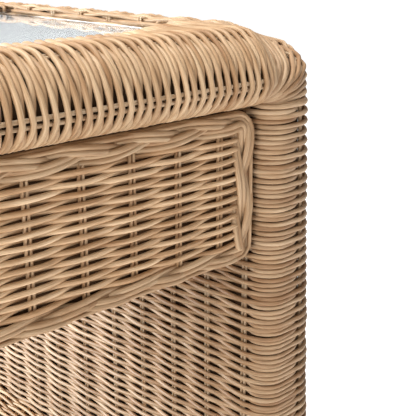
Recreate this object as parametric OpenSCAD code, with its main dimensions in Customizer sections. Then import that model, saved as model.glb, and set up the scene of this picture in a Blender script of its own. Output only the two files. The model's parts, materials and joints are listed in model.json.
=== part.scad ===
// Woven rattan side table with one drawer.
// The body is a thick arch of two side walls and a crowned rim, woven over a frame of poles.
// Millimetres, +Z up, front towards -Y, origin on the floor under the centre.

/* [Overall size] */
// Width across the side walls
table_w = 524; // [500:2:580]
// Depth from front to back
table_d = 530; // [500:5:580]
// Height from the floor to the crest of the rim
table_h = 580; // [560:5:640]

/* [Woven body] */
// Thickness of a side wall
wall_t = 90; // [88:1:100]
// Thickness of the woven skin
skin_t = 6; // [4:0.5:6]
// Radius of a wall's outer corners, seen from above
edge_r = 54; // [46:1:56]
// Radius where the inner face of the arch meets its front
inner_edge_r = 24; // [18:1:24]
// Radius of the shoulder between a side and the top
shoulder_r = 62; // [50:1:62]
// Radius of the crown over the drawer
crown_r = 38; // [34:1:38]
// Height of the rim above the drawer opening
rim_h = 62; // [60:1:66]
// Width of the front and back rim, from the outer face to the glass
rim_w = 60; // [58:1:64]
// Width of a side rim, from the outer face to the glass
side_rim_w = 75; // [72:1:80]

/* [Glass top] */
// How far the glass lies below the crest of the rim
glass_drop = 12; // [10:1:14]
// Thickness of the glass
glass_t = 5; // [4:0.5:6]
// Gap between the glass and the rim
glass_gap = 0.5; // [0.4:0.1:1]

/* [Drawer] */
// How far the drawer front lies behind the front of the walls
front_recess = 16; // [10:1:18]
// Height of the drawer front
front_h = 121; // [110:1:130]
// Gap round the drawer front
front_gap = 1; // [0.6:0.1:1.5]
// Width of the plaited border at the sides of the drawer front
braid_w = 21; // [18:1:24]
// Height of the plaited border along the top of the drawer front
braid_top = 17.5; // [15:0.5:20]
// Height of the plaited border along the bottom of the drawer front
braid_bottom = 14.5; // [12:0.5:18]
// Thickness of the drawer sides
side_t = 12; // [10:1:14]
// Height of the drawer sides
side_h = 85; // [70:1:90]
// Length of the drawer box behind its front board
box_len = 436; // [400:1:440]
// How far the drawer opens
travel = 285; // [250:5:300]

/* [Shelf] */
// Height of the shelf's woven surface above the floor
shelf_top = 99; // [90:1:130]
// Thickness of the woven shelf from its top to its underside
shelf_h = 47; // [45:1:50]

/* [Pole frame] */
// Diameter of the four posts
post_dia = 26; // [24:1:28]
// Diameter of the cross rails
rail_dia = 22; // [20:1:22]
// Height of the foot glides
glide_h = 6; // [5:1:8]

/* [Hidden] */
$fn = 48;
half_w = table_w / 2;
half_d = table_d / 2;
open_x = half_w - wall_t;
rim_z = table_h - rim_h;
skirt_z = glide_h + 2;
glass_x = half_w - side_rim_w;
glass_y = half_d - rim_w;
glass_z = table_h - glass_drop - glass_t;
outer_flat = half_d - edge_r;
inner_flat = half_d - inner_edge_r;
wall_h = rim_z - skirt_z;
cut = 1;

// Pole frame
post_x = half_w - wall_t / 2 - 10;
post_y = half_d - skin_t - 35;
post_top = rim_z + 27;
rail_reach = post_x - post_dia / 2;
cross_y = glass_y + 1;
mid_rail_dia = rail_reach - open_x - skin_t;
mid_rail_x = rail_reach - mid_rail_dia / 2;
mid_rail_len = 2 * inner_flat;
base_rail_z = 40;

// Boards
pad_t = 1.5;
pad_dia = 10;
board_t = 9;
board_z = glass_z - pad_t - board_t;
board_x = glass_x + 13;
board_y = glass_y + 9;
cross_z = board_z - rail_dia / 2;
shelf_skin_t = 5;
shelf_board_t = 12;
shelf_r = 23;
shelf_front = half_d - 3;
shelf_board_z = shelf_top - shelf_skin_t - shelf_board_t;
shelf_rail_z = shelf_board_z - rail_dia / 2;
shelf_rail_y = post_y - 14;

// Back apron, which hides the drawer from behind
apron_board_t = 8;
apron_weave_t = 5;
apron_y = half_d - apron_board_t - apron_weave_t - 3;
apron_h = 122;
base_board_t = 8;

// Drawer
front_x = open_x - 1.5;
front_z = rim_z - front_gap - front_h;
braid_t = 7;
weave_t = 4.5;
front_board_t = 12;
front_board_y = -half_d + front_recess + braid_t;
front_inset = 2.5;
box_y = front_board_y + front_board_t;
box_back_t = 12;
side_z = front_z + 16;
side_x = open_x - 13;
bottom_z = side_z + 6;
bottom_t = 6;
braid_top_r = 14;
braid_bottom_r = 5;

// Runners and stops
runner_t = 12;
runner_foot_t = 9;
runner_foot_w = 34;
runner_h = 38;
runner_z = side_z - 0.5 - runner_foot_t;
runner_len = 458;
mid_rail_z = runner_z + runner_h / 2;
stop_gap = 0.5;
stop_len = 12;
stop_h = 20;
pull_stop_w = 24;
pull_stop_len = 16;
pull_stop_z = side_z + side_h - 9;

// Screws
screw_dia = 4;
screw_head_dia = 8;
screw_head_h = 3;
runner_screw_len = 32;
front_screw_len = 34;

// ---------- Helpers ----------

// Puts a right-hand piece on the right (1) or, mirrored, on the left (-1)
module on_side(side) {
    mirror([side < 0 ? 1 : 0, 0, 0]) children();
}

// Puts a back piece at the back (1) or, mirrored, at the front (-1)
module at_end(end) {
    mirror([0, end < 0 ? 1 : 0, 0]) children();
}

// A solid bar of a profile drawn in X and Z, centred along Y
module along_y(length) {
    rotate([90, 0, 0]) linear_extrude(length, center = true) children();
}

// A solid bar of a profile drawn in Y and Z, centred along X
module along_x(length) {
    rotate([90, 0, 90]) linear_extrude(length, center = true) children();
}

module pole_y(dia, length) {
    rotate([90, 0, 0]) cylinder(d = dia, h = length, center = true);
}

module pole_x(dia, length) {
    rotate([0, 90, 0]) cylinder(d = dia, h = length, center = true);
}

// A screw lying along +X, its head's face at the origin
module screw(length) {
    rotate([0, 90, 0]) {
        cylinder(d = screw_head_dia, h = screw_head_h);
        cylinder(d = screw_dia, h = length);
    }
}

// ---------- Pole frame ----------

module post(side, end) {
    color("burlywood")
    on_side(side) at_end(end)
    translate([post_x, post_y, glide_h]) cylinder(d = post_dia, h = post_top - glide_h);
}

module top_rail_cross(end) {
    color("burlywood")
    translate([0, end * cross_y, cross_z]) pole_x(rail_dia, 2 * rail_reach);
}

module top_rail_side(side) {
    color("burlywood")
    translate([side * post_x, 0, post_top - post_dia / 2])
    pole_y(post_dia, 2 * post_y - post_dia);
}

module mid_rail(side) {
    color("burlywood")
    on_side(side) difference() {
        translate([mid_rail_x, 0, mid_rail_z]) pole_y(mid_rail_dia, mid_rail_len);
        runner_screw_row();
    }
}

module base_rail(side) {
    color("burlywood")
    translate([side * post_x, 0, base_rail_z]) pole_y(post_dia, 2 * post_y - post_dia);
}

module shelf_rail(end) {
    color("burlywood")
    translate([0, end * shelf_rail_y, shelf_rail_z]) pole_x(rail_dia, 2 * rail_reach);
}

// ---------- Woven side walls ----------

// A quarter of a ring of skin, towards +X and +Y from its centre
module quarter_ring(r) {
    intersection() {
        difference() {
            circle(r = r);
            circle(r = r - skin_t);
        }
        square(r + cut);
    }
}

// The rounded skin that wraps a wall's front or back edge
module wall_edge(side, end) {
    nose_x = open_x + inner_edge_r;
    corner_x = half_w - edge_r;
    color("tan")
    on_side(side) at_end(end) translate([0, 0, skirt_z]) linear_extrude(wall_h) {
        translate([nose_x, inner_flat]) mirror([1, 0]) quarter_ring(inner_edge_r);
        translate([nose_x, half_d - skin_t]) square([corner_x - nose_x, skin_t]);
        translate([corner_x, outer_flat]) quarter_ring(edge_r);
    }
}

module wall_outer(side) {
    color("tan")
    on_side(side) translate([half_w - skin_t, -outer_flat, skirt_z])
    cube([skin_t, 2 * outer_flat, wall_h]);
}

module wall_inner(side) {
    color("tan")
    on_side(side) difference() {
        translate([open_x, -inner_flat, skirt_z]) cube([skin_t, 2 * inner_flat, wall_h]);
        for (end = [-1, 1])
            translate([open_x, end * shelf_rail_y, shelf_rail_z]) pole_x(rail_dia, 4 * skin_t);
        runner_screw_row();
    }
}

// Closes the foot of a wall round its two posts
module wall_base(side) {
    plate_x = open_x + skin_t;
    color("peru")
    on_side(side) difference() {
        translate([plate_x, -inner_flat, skirt_z])
        cube([post_x + post_dia / 2 + 6 - plate_x, 2 * inner_flat, base_board_t]);
        for (end = [-1, 1])
            translate([post_x, end * post_y, 0]) cylinder(d = post_dia, h = rim_z);
    }
}

module back_apron_board() {
    color("peru")
    translate([-open_x, apron_y, rim_z - apron_h]) cube([2 * open_x, apron_board_t, apron_h]);
}

module back_apron_weave() {
    color("tan")
    translate([-open_x, apron_y + apron_board_t, rim_z - apron_h])
    cube([2 * open_x, apron_weave_t, apron_h]);
}

// ---------- Crowned rim ----------

// The rounded top of the body, drawn inwards by inset; lip_r rounds its lower front edge
module top_block(inset, z0, lip_r) {
    intersection() {
        along_y(table_d - 2 * inset) hull() {
            for (side = [-1, 1])
                translate([side * (half_w - shoulder_r), table_h - shoulder_r])
                circle(r = shoulder_r - inset);
            translate([-half_w + inset, z0]) square([table_w - 2 * inset, cut]);
        }
        along_x(table_w - 2 * inset) hull() {
            for (end = [-1, 1]) {
                translate([end * (half_d - crown_r), table_h - crown_r])
                circle(r = crown_r - inset);
                translate([end * (half_d - lip_r), rim_z + lip_r]) circle(r = lip_r - inset);
            }
            translate([-half_d + lip_r, z0]) square([table_d - 2 * lip_r, cut]);
        }
        translate([0, 0, z0]) linear_extrude(table_h - z0) hull()
            for (x = [-1, 1], y = [-1, 1])
                translate([x * (half_w - edge_r), y * outer_flat]) circle(r = edge_r - inset);
    }
}

// The skin of the rim, with the recess for the glass left open
module rim_shell(lip_r) {
    difference() {
        top_block(0, rim_z, lip_r);
        top_block(skin_t, rim_z - cut, lip_r);
        translate([-glass_x, -glass_y, board_z + board_t])
        cube([2 * glass_x, 2 * glass_y, rim_h]);
    }
}

// Upright inner faces of the rim, standing on the board round the glass
module rim_inner_wall() {
    recess_h = table_h - skin_t + cut - board_z - board_t;
    translate([0, 0, board_z + board_t]) difference() {
        translate([-glass_x - skin_t, -glass_y - skin_t, 0])
        cube([2 * (glass_x + skin_t), 2 * (glass_y + skin_t), recess_h]);
        translate([-glass_x, -glass_y, -cut])
        cube([2 * glass_x, 2 * glass_y, recess_h + 2 * cut]);
    }
}

module rim_side(side) {
    color("wheat")
    on_side(side) intersection() {
        union() {
            rim_shell(skin_t + cut);
            rim_inner_wall();
        }
        translate([open_x, -half_d, rim_z]) cube([wall_t, table_d, rim_h]);
    }
}

// The rim's lower edge turns under, above the drawer
module rim_cross(end) {
    lip_t = 5;
    lip_y = half_d - inner_edge_r;
    lip_w = 26;
    color("wheat")
    at_end(end) {
        intersection() {
            union() {
                rim_shell(inner_edge_r);
                rim_inner_wall();
            }
            translate([-open_x, 0, rim_z]) cube([2 * open_x, half_d, rim_h]);
        }
        translate([-open_x, lip_y - lip_w, rim_z]) cube([2 * open_x, lip_w, lip_t]);
    }
}

// ---------- Glass top ----------

module sub_top_board() {
    color("antiquewhite")
    translate([-board_x, -board_y, board_z]) cube([2 * board_x, 2 * board_y, board_t]);
}

module glass_pads() {
    color("lightgray")
    for (x = [-1, 0, 1], y = [-1, 1])
        translate([x * (glass_x - 20), y * (glass_y - 20), board_z + board_t])
        cylinder(d = pad_dia, h = pad_t);
}

module glass_top() {
    corner_r = 4;
    gx = glass_x - glass_gap - corner_r;
    gy = glass_y - glass_gap - corner_r;
    color("lightcyan")
    translate([0, 0, glass_z]) {
        translate([-gx, -gy - corner_r, 0]) cube([2 * gx, 2 * (gy + corner_r), glass_t]);
        translate([-gx - corner_r, -gy, 0]) cube([2 * (gx + corner_r), 2 * gy, glass_t]);
        for (x = [-1, 1], y = [-1, 1])
            translate([x * gx, y * gy, 0]) cylinder(r = corner_r, h = glass_t);
    }
}

// ---------- Shelf ----------

module shelf_board() {
    color("burlywood")
    translate([-open_x, -shelf_front + shelf_r, shelf_board_z])
    cube([2 * open_x, 2 * (shelf_front - shelf_r), shelf_board_t]);
}

module shelf_flat_skin(z) {
    color("tan")
    translate([-open_x, -shelf_front + shelf_r, z])
    cube([2 * open_x, 2 * (shelf_front - shelf_r), shelf_skin_t]);
}

// The shelf's weave turns round its front and back edges
module shelf_edge(end) {
    color("tan")
    at_end(end)
    translate([0, shelf_front - shelf_r, shelf_top - shelf_h / 2]) along_x(2 * open_x)
    intersection() {
        difference() {
            circle(d = shelf_h);
            circle(d = shelf_h - 2 * shelf_skin_t);
        }
        translate([0, -shelf_h]) square([shelf_h, 2 * shelf_h]);
    }
}

// ---------- Runners, stops and screws ----------

// Screws that hold a right-hand runner to its pole, through the woven skin
module runner_screw_row() {
    for (y = [-180, 0, 180])
        translate([open_x - runner_t, y, mid_rail_z]) screw(runner_screw_len);
}

module runner(side) {
    color("peru")
    on_side(side) difference() {
        along_y(runner_len) polygon([
            [open_x, runner_z],
            [open_x, runner_z + runner_h],
            [open_x - runner_t, runner_z + runner_h],
            [open_x - runner_t, runner_z + runner_foot_t],
            [open_x - runner_foot_w, runner_z + runner_foot_t],
            [open_x - runner_foot_w, runner_z]
        ]);
        runner_screw_row();
    }
}

module closing_stops() {
    color("peru")
    for (side = [-1, 1]) on_side(side)
        translate([side_x - side_t, box_y + box_len + stop_gap, runner_z + runner_foot_t])
        cube([side_t, stop_len, stop_h]);
}

// Hangs behind the drawer front and meets the drawer back at full travel
module pull_out_stop() {
    stop_y = box_y + box_len - box_back_t - travel - stop_gap - pull_stop_len;
    color("peru")
    translate([-pull_stop_w / 2, stop_y, pull_stop_z])
    cube([pull_stop_w, pull_stop_len, board_z - pull_stop_z]);
}

module runner_screws() {
    color("silver")
    for (side = [-1, 1]) on_side(side) runner_screw_row();
}

module foot_glides() {
    color("dimgray")
    for (x = [-1, 1], y = [-1, 1])
        translate([x * post_x, y * post_y, 0]) cylinder(d = post_dia - 2, h = glide_h);
}

// ---------- Drawer ----------

// Screws through the front board into the ends of the drawer sides
module front_screw_set() {
    for (side = [-1, 1], z = [side_z + 18, side_z + side_h - 18])
        translate([side * (side_x - side_t / 2), front_board_y, z])
        rotate([0, 0, 90]) screw(front_screw_len);
}

module drawer_front_board() {
    color("peru")
    difference() {
        translate([-front_x + front_inset, front_board_y, front_z + front_inset])
        cube([2 * (front_x - front_inset), front_board_t, front_h - 2 * front_inset]);
        front_screw_set();
    }
}

module drawer_front_weave() {
    w = 2 * (front_x - braid_w);
    h = front_h - braid_top - braid_bottom;
    color("tan")
    translate([-w / 2, front_board_y - weave_t, front_z + braid_bottom]) cube([w, weave_t, h]);
}

// Outline of the drawer front, with rounder corners at its top
module front_outline() {
    hull() for (side = [-1, 1]) {
        translate([side * (front_x - braid_top_r), front_z + front_h - braid_top_r])
        circle(r = braid_top_r, $fn = 32);
        translate([side * (front_x - braid_bottom_r), front_z + braid_bottom_r])
        circle(r = braid_bottom_r, $fn = 32);
    }
}

module drawer_braid() {
    color("tan")
    translate([0, front_board_y - braid_t / 2, 0]) along_y(braid_t) difference() {
        front_outline();
        translate([-front_x + braid_w, front_z + braid_bottom])
        square([2 * (front_x - braid_w), front_h - braid_top - braid_bottom]);
    }
}

module drawer_side(side) {
    color("peru")
    difference() {
        on_side(side) translate([side_x - side_t, box_y, side_z]) cube([side_t, box_len, side_h]);
        front_screw_set();
    }
}

module drawer_back() {
    inner = side_x - side_t;
    color("peru")
    translate([-inner, box_y + box_len - box_back_t, side_z])
    cube([2 * inner, box_back_t, side_h]);
}

module drawer_bottom() {
    inner = side_x - side_t;
    color("burlywood")
    translate([-inner, box_y, bottom_z]) cube([2 * inner, box_len - box_back_t, bottom_t]);
}

module drawer_screws() {
    color("silver") front_screw_set();
}

// ---------- Nodes ----------

post(-1, -1);  // post_front_left
post(1, -1);  // post_front_right
post(-1, 1);  // post_back_left
post(1, 1);  // post_back_right
top_rail_cross(-1);  // top_rail_front
top_rail_cross(1);  // top_rail_back
top_rail_side(-1);  // top_rail_left
top_rail_side(1);  // top_rail_right
mid_rail(-1);  // mid_rail_left
mid_rail(1);  // mid_rail_right
base_rail(-1);  // base_rail_left
base_rail(1);  // base_rail_right
shelf_rail(-1);  // shelf_rail_front
shelf_rail(1);  // shelf_rail_back
wall_outer(-1);  // wall_outer_left
wall_outer(1);  // wall_outer_right
wall_inner(-1);  // wall_inner_left
wall_inner(1);  // wall_inner_right
wall_edge(-1, -1);  // wall_front_edge_left
wall_edge(1, -1);  // wall_front_edge_right
wall_edge(-1, 1);  // wall_back_edge_left
wall_edge(1, 1);  // wall_back_edge_right
rim_side(-1);  // rim_left
rim_side(1);  // rim_right
rim_cross(-1);  // rim_front
rim_cross(1);  // rim_back
sub_top_board();
glass_pads();
glass_top();
shelf_board();
shelf_flat_skin(shelf_top - shelf_skin_t);  // shelf_top_skin
shelf_flat_skin(shelf_top - shelf_h);  // shelf_under_skin
shelf_edge(-1);  // shelf_front_edge
shelf_edge(1);  // shelf_back_edge
wall_base(-1);  // wall_base_left
wall_base(1);  // wall_base_right
back_apron_board();
back_apron_weave();
runner(-1);  // runner_left
runner(1);  // runner_right
closing_stops();
pull_out_stop();
runner_screws();
foot_glides();
drawer_front_board();
drawer_front_weave();
drawer_braid();
drawer_side(-1);  // drawer_side_left
drawer_side(1);  // drawer_side_right
drawer_back();
drawer_bottom();
drawer_screws();
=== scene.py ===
"""Looks of the woven rattan side table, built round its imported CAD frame.

Every woven surface is laid cane by cane: round weavers pass in front of and behind
pairs of thinner stakes. Lengths are in millimetres until a mesh is made.
"""

import json
import math

import bpy
import numpy as np
from mathutils import Euler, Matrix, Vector

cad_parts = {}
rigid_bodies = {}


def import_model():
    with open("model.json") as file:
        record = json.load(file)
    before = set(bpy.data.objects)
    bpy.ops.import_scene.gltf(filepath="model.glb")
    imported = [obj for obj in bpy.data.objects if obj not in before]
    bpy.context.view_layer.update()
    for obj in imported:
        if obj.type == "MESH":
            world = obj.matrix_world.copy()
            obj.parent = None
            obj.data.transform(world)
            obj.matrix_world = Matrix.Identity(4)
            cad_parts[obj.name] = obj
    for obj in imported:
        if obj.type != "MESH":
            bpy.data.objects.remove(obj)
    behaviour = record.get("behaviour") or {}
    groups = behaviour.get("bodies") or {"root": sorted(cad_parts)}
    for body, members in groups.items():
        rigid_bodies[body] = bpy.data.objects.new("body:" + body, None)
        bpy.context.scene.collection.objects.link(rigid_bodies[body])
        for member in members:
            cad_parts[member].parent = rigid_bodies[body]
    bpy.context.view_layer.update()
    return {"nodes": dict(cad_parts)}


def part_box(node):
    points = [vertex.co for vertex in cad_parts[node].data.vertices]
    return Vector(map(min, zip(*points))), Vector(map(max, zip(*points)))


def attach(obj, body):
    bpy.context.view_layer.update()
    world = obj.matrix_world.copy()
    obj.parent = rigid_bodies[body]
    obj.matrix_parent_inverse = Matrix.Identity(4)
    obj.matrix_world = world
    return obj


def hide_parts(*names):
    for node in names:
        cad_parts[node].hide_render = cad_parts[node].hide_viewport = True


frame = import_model()
scene = bpy.context.scene

MM = 0.001


def box(node):
    """Lowest and highest corner of a CAD node, in millimetres."""
    lo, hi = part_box(node)
    return np.array(lo) / MM, np.array(hi) / MM


# ---------- Sizes read from the frame ----------

inner_lo, inner_hi = box("wall_inner_right")
_, outer_hi = box("wall_outer_right")
rim_lo, rim_hi = box("rim_front")
_, glass_hi = box("glass_top")
braid_lo, braid_hi = box("drawer_braid")
panel_lo, panel_hi = box("drawer_front_weave")
apron_lo, apron_hi = box("back_apron_weave")
shelf_lo, shelf_hi = box("shelf_front_edge")

HALF_D = -rim_lo[1]
HALF_W = outer_hi[0]
TABLE_H = rim_hi[2]
OPEN_X = inner_lo[0]  # half the width of the opening
SKIRT_Z = inner_lo[2]  # height at which the walls' weave starts
RIM_Z = inner_hi[2]  # height of the rim's underside
EDGE_R = HALF_D - outer_hi[1]  # rounding of the walls' outer edges
LIP_R = HALF_D - inner_hi[1]  # rounding of the edges of the opening
CROWN_R = TABLE_H - RIM_Z - LIP_R  # rounding of the rim up to its crest
GLASS_X, GLASS_Y, GLASS_TOP = glass_hi

# ---------- Sizes of the weave ----------

CANE_R = 2.1  # radius of a weaver
STAKE_R = 1.3
RIM_STAKE_R = 1.65
PITCH = 4.15  # from one weaver to the next
PANEL_PITCH = 3.9  # the same on the drawer front
FAN_PITCH = 4.3  # the same over the shoulder
STAKE_GAP = 45.0
CRIMP = 2.9  # how far a weaver stands out where it passes a stake
REACH = 34.0  # how far from a stake a weaver is back in line
SINK = 2.5  # depth of the weave's middle below the outline
INNER_SINK = CRIMP + CANE_R  # the same on faces that a moving part passes
TOP_SINK = 2.5  # the same along the crest of the rim
IN_R = 18.0  # rounding of the weave where it turns into the opening
LEAN_IN = 12.5  # the walls lean: in at the rim, out at the floor
LEAN_OUT = 12.5
STEP = 5.0  # spacing of the rings along a cane
SECTION_STEP = 4.0  # the same where a cane crosses the rim
FINE_STEP = 2.0  # the same along guide lines
SIDES = 8  # of a weaver's cross-section

BOTH_SIDES = ((1, "right"), (-1, "left"))  # signs along X
BOTH_ENDS = ((-1, "front"), (1, "back"))  # signs along Y

FACE_Y = HALF_D - SINK  # the weave's middle on the front and back faces
CORNER_R = EDGE_R - SINK  # its rounding between those and the outer faces
INNER_X = OPEN_X + INNER_SINK  # its middle on the inner faces of the walls
RECESS_X = GLASS_X + 2.6  # its middle beside the glass


# ---------- Outlines ----------
# An outline is (points, normals) in two dimensions.


def line(start, stop, normal):
    """A straight outline with the same normal at both ends."""
    return np.array([start, stop], float), np.array([normal, normal], float)


def arc(centre, radius, start, stop, step=4.0):
    """An arc of a circle, or of an ellipse with two radii, its normals pointing outwards."""
    count = max(2, int(abs(stop - start) / step) + 1)
    a = np.radians(np.linspace(start, stop, count))
    n = np.stack([np.cos(a), np.sin(a)], 1)
    points = np.array(centre, float) + n * radius
    n = n / radius
    return points, n / np.linalg.norm(n, axis=1)[:, None]


def join(*parts):
    """Parts end to end as one outline."""
    return np.concatenate([p for p, _ in parts]), np.concatenate([n for _, n in parts])


def lengths(points):
    """Distance along a polyline at each of its points."""
    return np.concatenate([[0], np.cumsum(np.linalg.norm(np.diff(points, axis=0), axis=1))])


def resample(outline, step=STEP):
    """Evenly spaced places along an outline: (distances, points, normals)."""
    points, normals = outline
    s = lengths(points)
    keep = np.concatenate([[True], np.diff(s) > 1e-6])
    points, normals, s = points[keep], normals[keep], s[keep]
    at = np.linspace(0, s[-1], max(3, int(round(s[-1] / step)) + 1))
    p = np.stack([np.interp(at, s, c) for c in points.T], 1)
    n = np.stack([np.interp(at, s, c) for c in normals.T], 1)
    return at, p, n / np.linalg.norm(n, axis=1)[:, None]


def place_of(outline, point):
    """Distance along an outline to where it passes nearest a point."""
    at, p, _ = resample(outline, 1.0)
    return at[np.argmin(np.linalg.norm(p - np.array(point), axis=1))]


def crimp(at, stakes, closed=0.0, peaked=False, reach=REACH):
    """How far a weaver stands out, from (place, height) of each stake it passes.

    closed is the length of a weaver that meets itself. A peaked weaver rises more quickly
    than it falls, and bends sharply over the stakes it stands out at.
    """
    out = np.zeros(len(at))
    for place, height in stakes:
        d = np.abs(at - place)
        if closed:
            d = np.minimum(d, closed - d)
        run = np.where(at < place, 0.6 * reach, reach) if peaked else reach
        d = np.minimum(d / run, 1)
        shape = (1 - d) ** 1.5 if peaked and height > 0 else 0.5 * (1 + np.cos(np.pi * d))
        out += height * shape
    return out


def ease(t):
    """0 below 0, 1 above 1, smooth between."""
    t = np.clip(t, 0, 1)
    return t * t * (3 - 2 * t)


def wander(at, length, size, rng, waves=(1, 9)):
    """Three random waves that meet themselves after length."""
    out = np.zeros(len(at))
    for _ in range(3):
        k = rng.integers(*waves)
        out += np.sin(2 * np.pi * k * at / length + rng.uniform(0, 2 * np.pi))
    return out * size / 2


# ---------- Canes ----------


class Canes:
    """Gathers round canes and makes one mesh of them."""

    def __init__(self, seed):
        self.rng = np.random.default_rng(seed)
        self.count = 0
        self.verts, self.coords, self.ids = [], [], []
        self.loops, self.sizes = [], []

    def lay(self, points, normals, radius=CANE_R, closed=False, sides=SIDES, rough=0.04):
        """Adds a cane along 3-D points; normals point out of the woven surface."""
        rng = self.rng
        n_pts = len(points)
        if closed:
            t = np.roll(points, -1, 0) - np.roll(points, 1, 0)
        else:
            t = np.gradient(points, axis=0)
        t /= np.linalg.norm(t, axis=1)[:, None]
        n = normals - (normals * t).sum(1)[:, None] * t
        n /= np.linalg.norm(n, axis=1)[:, None]
        b = np.cross(t, n)
        along = lengths(points)
        r = radius * (1 + rough * rng.normal() * 0.7)
        r = r * (1 + wander(along, along[-1] + STEP, rough, rng, (1, 12)))
        ang = 2 * np.pi * np.arange(sides) / sides
        ca, sa = np.cos(ang), np.sin(ang)
        ring = ca[None, :, None] * n[:, None] + sa[None, :, None] * b[:, None]
        co = points[:, None] + r[:, None, None] * ring
        self.verts.append(co.reshape(-1, 3))
        grain = np.empty((n_pts, sides, 3))
        grain[..., 0] = along[:, None]
        grain[..., 1] = ca * radius
        grain[..., 2] = sa * radius
        self.coords.append(grain.reshape(-1, 3))
        self.ids.append(np.tile(rng.random(3), (n_pts * sides, 1)))
        i = np.arange(n_pts if closed else n_pts - 1)[:, None]
        k = np.arange(sides)[None]
        j, m = (i + 1) % n_pts, (k + 1) % sides
        quads = np.stack([i * sides + k, i * sides + m, j * sides + m, j * sides + k], -1)
        self.loops.append(quads.reshape(-1) + self.count)
        self.sizes.append(np.full(quads.shape[0] * quads.shape[1], 4))
        if not closed:
            first = np.arange(sides)[::-1]
            last = (n_pts - 1) * sides + np.arange(sides)
            self.loops.append(np.concatenate([first, last]) + self.count)
            self.sizes.append(np.array([sides, sides]))
        self.count += n_pts * sides

    def piece(self, name, material, slot, body="table", replaces=()):
        """Makes the object, and puts it on its CAD body."""
        mesh = bpy.data.meshes.new(name)
        verts = np.concatenate(self.verts) * MM
        loops = np.concatenate(self.loops)
        sizes = np.concatenate(self.sizes)
        mesh.vertices.add(len(verts))
        mesh.vertices.foreach_set("co", verts.astype(np.float32).ravel())
        mesh.loops.add(len(loops))
        mesh.loops.foreach_set("vertex_index", loops.astype(np.int32))
        mesh.polygons.add(len(sizes))
        starts = np.concatenate([[0], np.cumsum(sizes)[:-1]])
        mesh.polygons.foreach_set("loop_start", starts.astype(np.int32))
        mesh.polygons.foreach_set("use_smooth", np.ones(len(sizes), bool))
        for label, rows in (("cane_place", self.coords), ("cane_id", self.ids)):
            attribute = mesh.attributes.new(label, "FLOAT_VECTOR", "POINT")
            values = np.concatenate(rows).astype(np.float32)
            attribute.data.foreach_set("vector", values.ravel())
        mesh.update(calc_edges=True)
        mesh.materials.append(material)
        obj = bpy.data.objects.new(name, mesh)
        scene.collection.objects.link(obj)
        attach(obj, body)
        if replaces:
            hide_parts(*replaces)
        return obj


def stake_pair(canes, points, normals, across, radius=STAKE_R):
    """Two thin stakes side by side along a path; across points from one to the other."""
    for side in (-1, 1):
        canes.lay(points + side * radius * 1.35 * across, normals, radius, sides=6)


# ---------- Materials ----------


def node_tree(name):
    """A new material, its node tree and its shader."""
    material = bpy.data.materials.new(name)
    material.use_nodes = True
    tree = material.node_tree
    return material, tree, tree.nodes["Principled BSDF"]


def add(tree, kind, **settings):
    """A new node, with its sockets or properties set."""
    node = tree.nodes.new(kind)
    for key, value in settings.items():
        if key in node.inputs:
            node.inputs[key].default_value = value
        else:
            setattr(node, key, value)
    return node


def ramp(tree, source, stops):
    """A colour ramp from (position, colour) stops."""
    node = add(tree, "ShaderNodeValToRGB")
    elements = node.color_ramp.elements
    while len(elements) < len(stops):
        elements.new(0.5)
    for element, (position, colour) in zip(elements, stops):
        element.position = position
        element.color = (*colour, 1)
    tree.links.new(source, node.inputs["Fac"])
    return node.outputs["Color"]


def multiplied(tree, factor, a, b):
    """Colour a darkened or tinted by colour b, as far as factor says."""
    node = add(tree, "ShaderNodeMix", data_type="RGBA", blend_type="MULTIPLY")
    node.inputs["Factor"].default_value = factor
    tree.links.new(a, node.inputs[6])
    tree.links.new(b, node.inputs[7])
    return node.outputs[2]


def scaled(tree, source, scale, shift=None):
    """A vector stretched by scale and moved by another vector."""
    node = add(tree, "ShaderNodeVectorMath", operation="MULTIPLY")
    tree.links.new(source, node.inputs[0])
    node.inputs[1].default_value = scale
    if shift is None:
        return node.outputs[0]
    total = add(tree, "ShaderNodeVectorMath", operation="ADD")
    tree.links.new(node.outputs[0], total.inputs[0])
    tree.links.new(shift, total.inputs[1])
    return total.outputs[0]


def noise(tree, vector, scale, detail=4.0, roughness=0.55):
    """A noise texture's value."""
    node = add(tree, "ShaderNodeTexNoise", Scale=scale, Detail=detail, Roughness=roughness)
    tree.links.new(vector, node.inputs["Vector"])
    return node.outputs["Fac"]


def bump(tree, shader, height, strength, distance):
    """Raises the surface where height is bright; the distance is in metres."""
    node = add(tree, "ShaderNodeBump", Strength=strength, Distance=distance)
    tree.links.new(height, node.inputs["Height"])
    tree.links.new(node.outputs["Normal"], shader.inputs["Normal"])


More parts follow.
